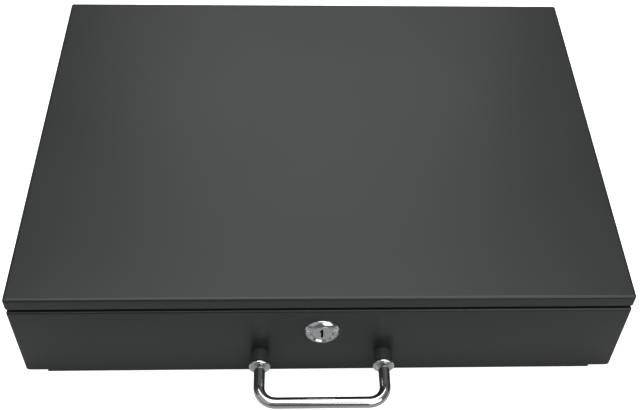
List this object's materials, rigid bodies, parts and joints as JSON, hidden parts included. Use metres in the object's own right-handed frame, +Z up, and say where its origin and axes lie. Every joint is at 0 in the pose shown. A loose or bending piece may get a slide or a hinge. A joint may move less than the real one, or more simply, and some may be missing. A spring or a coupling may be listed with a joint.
{
  "type": "cash drawer",
  "caption": "Manual steel cash drawer with a folded case, full-width drawer front, pull handle, turning cam lock, ball-bearing slides and a till with spring clips and a coin tray.",
  "frame": {"origin": "centre of the whole object's footprint, on the surface that the feet stand on", "axes": "+Z up, -Y towards the user (the side the drawer opens), +X to the right of a user facing the drawer"},
  "size_m": [0.43, 0.3682, 0.0915],
  "materials": {
    "case_paint": "satin",
    "front_paint": "satin",
    "pan_paint": "satin",
    "handle_chrome": "polished",
    "lock_chrome": "polished",
    "lock_zinc": "zinc plated",
    "rubber": "matte",
    "fastener_zinc": "zinc plated",
    "cage_plastic": "matte",
    "ball_steel": "polished",
    "slide_zinc": "zinc plated",
    "till_plastic": "fine texture",
    "clip_steel": "bright"
  },
  "bodies": {
    "case": {"case_cover": "case_paint", "case_base": "case_paint", "lock_strike": "case_paint", "foot_front_left": "rubber", "foot_front_right": "rubber", "foot_rear_left": "rubber", "foot_rear_right": "rubber", "foot_screws": "fastener_zinc", "foot_nuts": "fastener_zinc", "base_screws": "fastener_zinc", "back_screws": "fastener_zinc", "rear_bumpers": "rubber", "slide_case_member_left": "slide_zinc", "slide_case_member_right": "slide_zinc"},
    "drawer": {"clip_rod": "clip_steel", "clip_springs": "clip_steel", "coin_tray": "till_plastic", "drawer_front": "front_paint", "drawer_pan": "pan_paint", "drawer_partition": "pan_paint", "handle_ferrule_left": "handle_chrome", "handle_ferrule_right": "handle_chrome", "handle_post_left": "front_paint", "handle_post_right": "front_paint", "handle_rod": "handle_chrome", "handle_screws": "fastener_zinc", "lock_housing": "lock_chrome", "lock_nut": "lock_zinc", "slide_drawer_member_left": "slide_zinc", "slide_drawer_member_right": "slide_zinc", "slide_rivets": "fastener_zinc", "till_tray": "till_plastic"},
    "lock": {"lock_plug": "lock_chrome", "lock_cam": "lock_zinc", "cam_washer": "lock_zinc", "cam_screw": "lock_zinc"},
    "clip_1": {"bill_clip_1": "clip_steel"},
    "clip_2": {"bill_clip_2": "clip_steel"},
    "clip_3": {"bill_clip_3": "clip_steel"},
    "clip_4": {"bill_clip_4": "clip_steel"},
    "clip_5": {"bill_clip_5": "clip_steel"},
    "middle_left": {"slide_middle_member_left": "slide_zinc"},
    "outer_cage_left": {"slide_outer_cage_left": "cage_plastic", "slide_outer_balls_left": "ball_steel"},
    "inner_cage_left": {"slide_inner_cage_left": "cage_plastic", "slide_inner_balls_left": "ball_steel"},
    "middle_right": {"slide_middle_member_right": "slide_zinc"},
    "outer_cage_right": {"slide_outer_cage_right": "cage_plastic", "slide_outer_balls_right": "ball_steel"},
    "inner_cage_right": {"slide_inner_cage_right": "cage_plastic", "slide_inner_balls_right": "ball_steel"}
  },
  "joints": [
    {"name": "drawer_slide", "type": "slide", "parent": "case", "child": "drawer", "axis": [0, -1, 0], "range_m": [0, 0.26]},
    {"name": "lock_turn", "type": "hinge", "parent": "drawer", "child": "lock", "pos_m": [0, -0.1395, 0.0534], "axis": [0, 1, 0], "range_deg": [0, 90]},
    {"name": "clip_1_lift", "type": "hinge", "parent": "drawer", "child": "clip_1", "pos_m": [-0.15784, 0.1573, 0.066], "axis": [-1, 0, 0], "range_deg": [0, 30], "stiffness_Nm_per_rad": 0.06, "springref_deg": -51.57},
    {"name": "clip_2_lift", "type": "hinge", "parent": "drawer", "child": "clip_2", "pos_m": [-0.07892, 0.1573, 0.066], "axis": [-1, 0, 0], "range_deg": [0, 30], "stiffness_Nm_per_rad": 0.06, "springref_deg": -51.57},
    {"name": "clip_3_lift", "type": "hinge", "parent": "drawer", "child": "clip_3", "pos_m": [0, 0.1573, 0.066], "axis": [-1, 0, 0], "range_deg": [0, 30], "stiffness_Nm_per_rad": 0.06, "springref_deg": -51.57},
    {"name": "clip_4_lift", "type": "hinge", "parent": "drawer", "child": "clip_4", "pos_m": [0.07892, 0.1573, 0.066], "axis": [-1, 0, 0], "range_deg": [0, 30], "stiffness_Nm_per_rad": 0.06, "springref_deg": -51.57},
    {"name": "clip_5_lift", "type": "hinge", "parent": "drawer", "child": "clip_5", "pos_m": [0.15784, 0.1573, 0.066], "axis": [-1, 0, 0], "range_deg": [0, 30], "stiffness_Nm_per_rad": 0.06, "springref_deg": -51.57},
    {"name": "middle_left_slide", "type": "slide", "parent": "case", "child": "middle_left", "axis": [0, -1, 0], "range_m": [0, 0.1305]},
    {"name": "outer_cage_left_slide", "type": "slide", "parent": "case", "child": "outer_cage_left", "axis": [0, -1, 0], "range_m": [0, 0.0655]},
    {"name": "inner_cage_left_slide", "type": "slide", "parent": "case", "child": "inner_cage_left", "axis": [0, -1, 0], "range_m": [0, 0.1955]},
    {"name": "middle_right_slide", "type": "slide", "parent": "case", "child": "middle_right", "axis": [0, -1, 0], "range_m": [0, 0.1305]},
    {"name": "outer_cage_right_slide", "type": "slide", "parent": "case", "child": "outer_cage_right", "axis": [0, -1, 0], "range_m": [0, 0.0655]},
    {"name": "inner_cage_right_slide", "type": "slide", "parent": "case", "child": "inner_cage_right", "axis": [0, -1, 0], "range_m": [0, 0.1955]}
  ],
  "couplings": [
    {"joint": "middle_left_slide", "follows": "drawer_slide", "ratio": 0.5},
    {"joint": "outer_cage_left_slide", "follows": "drawer_slide", "ratio": 0.25},
    {"joint": "inner_cage_left_slide", "follows": "drawer_slide", "ratio": 0.75},
    {"joint": "middle_right_slide", "follows": "drawer_slide", "ratio": 0.5},
    {"joint": "outer_cage_right_slide", "follows": "drawer_slide", "ratio": 0.25},
    {"joint": "inner_cage_right_slide", "follows": "drawer_slide", "ratio": 0.75}
  ]
}
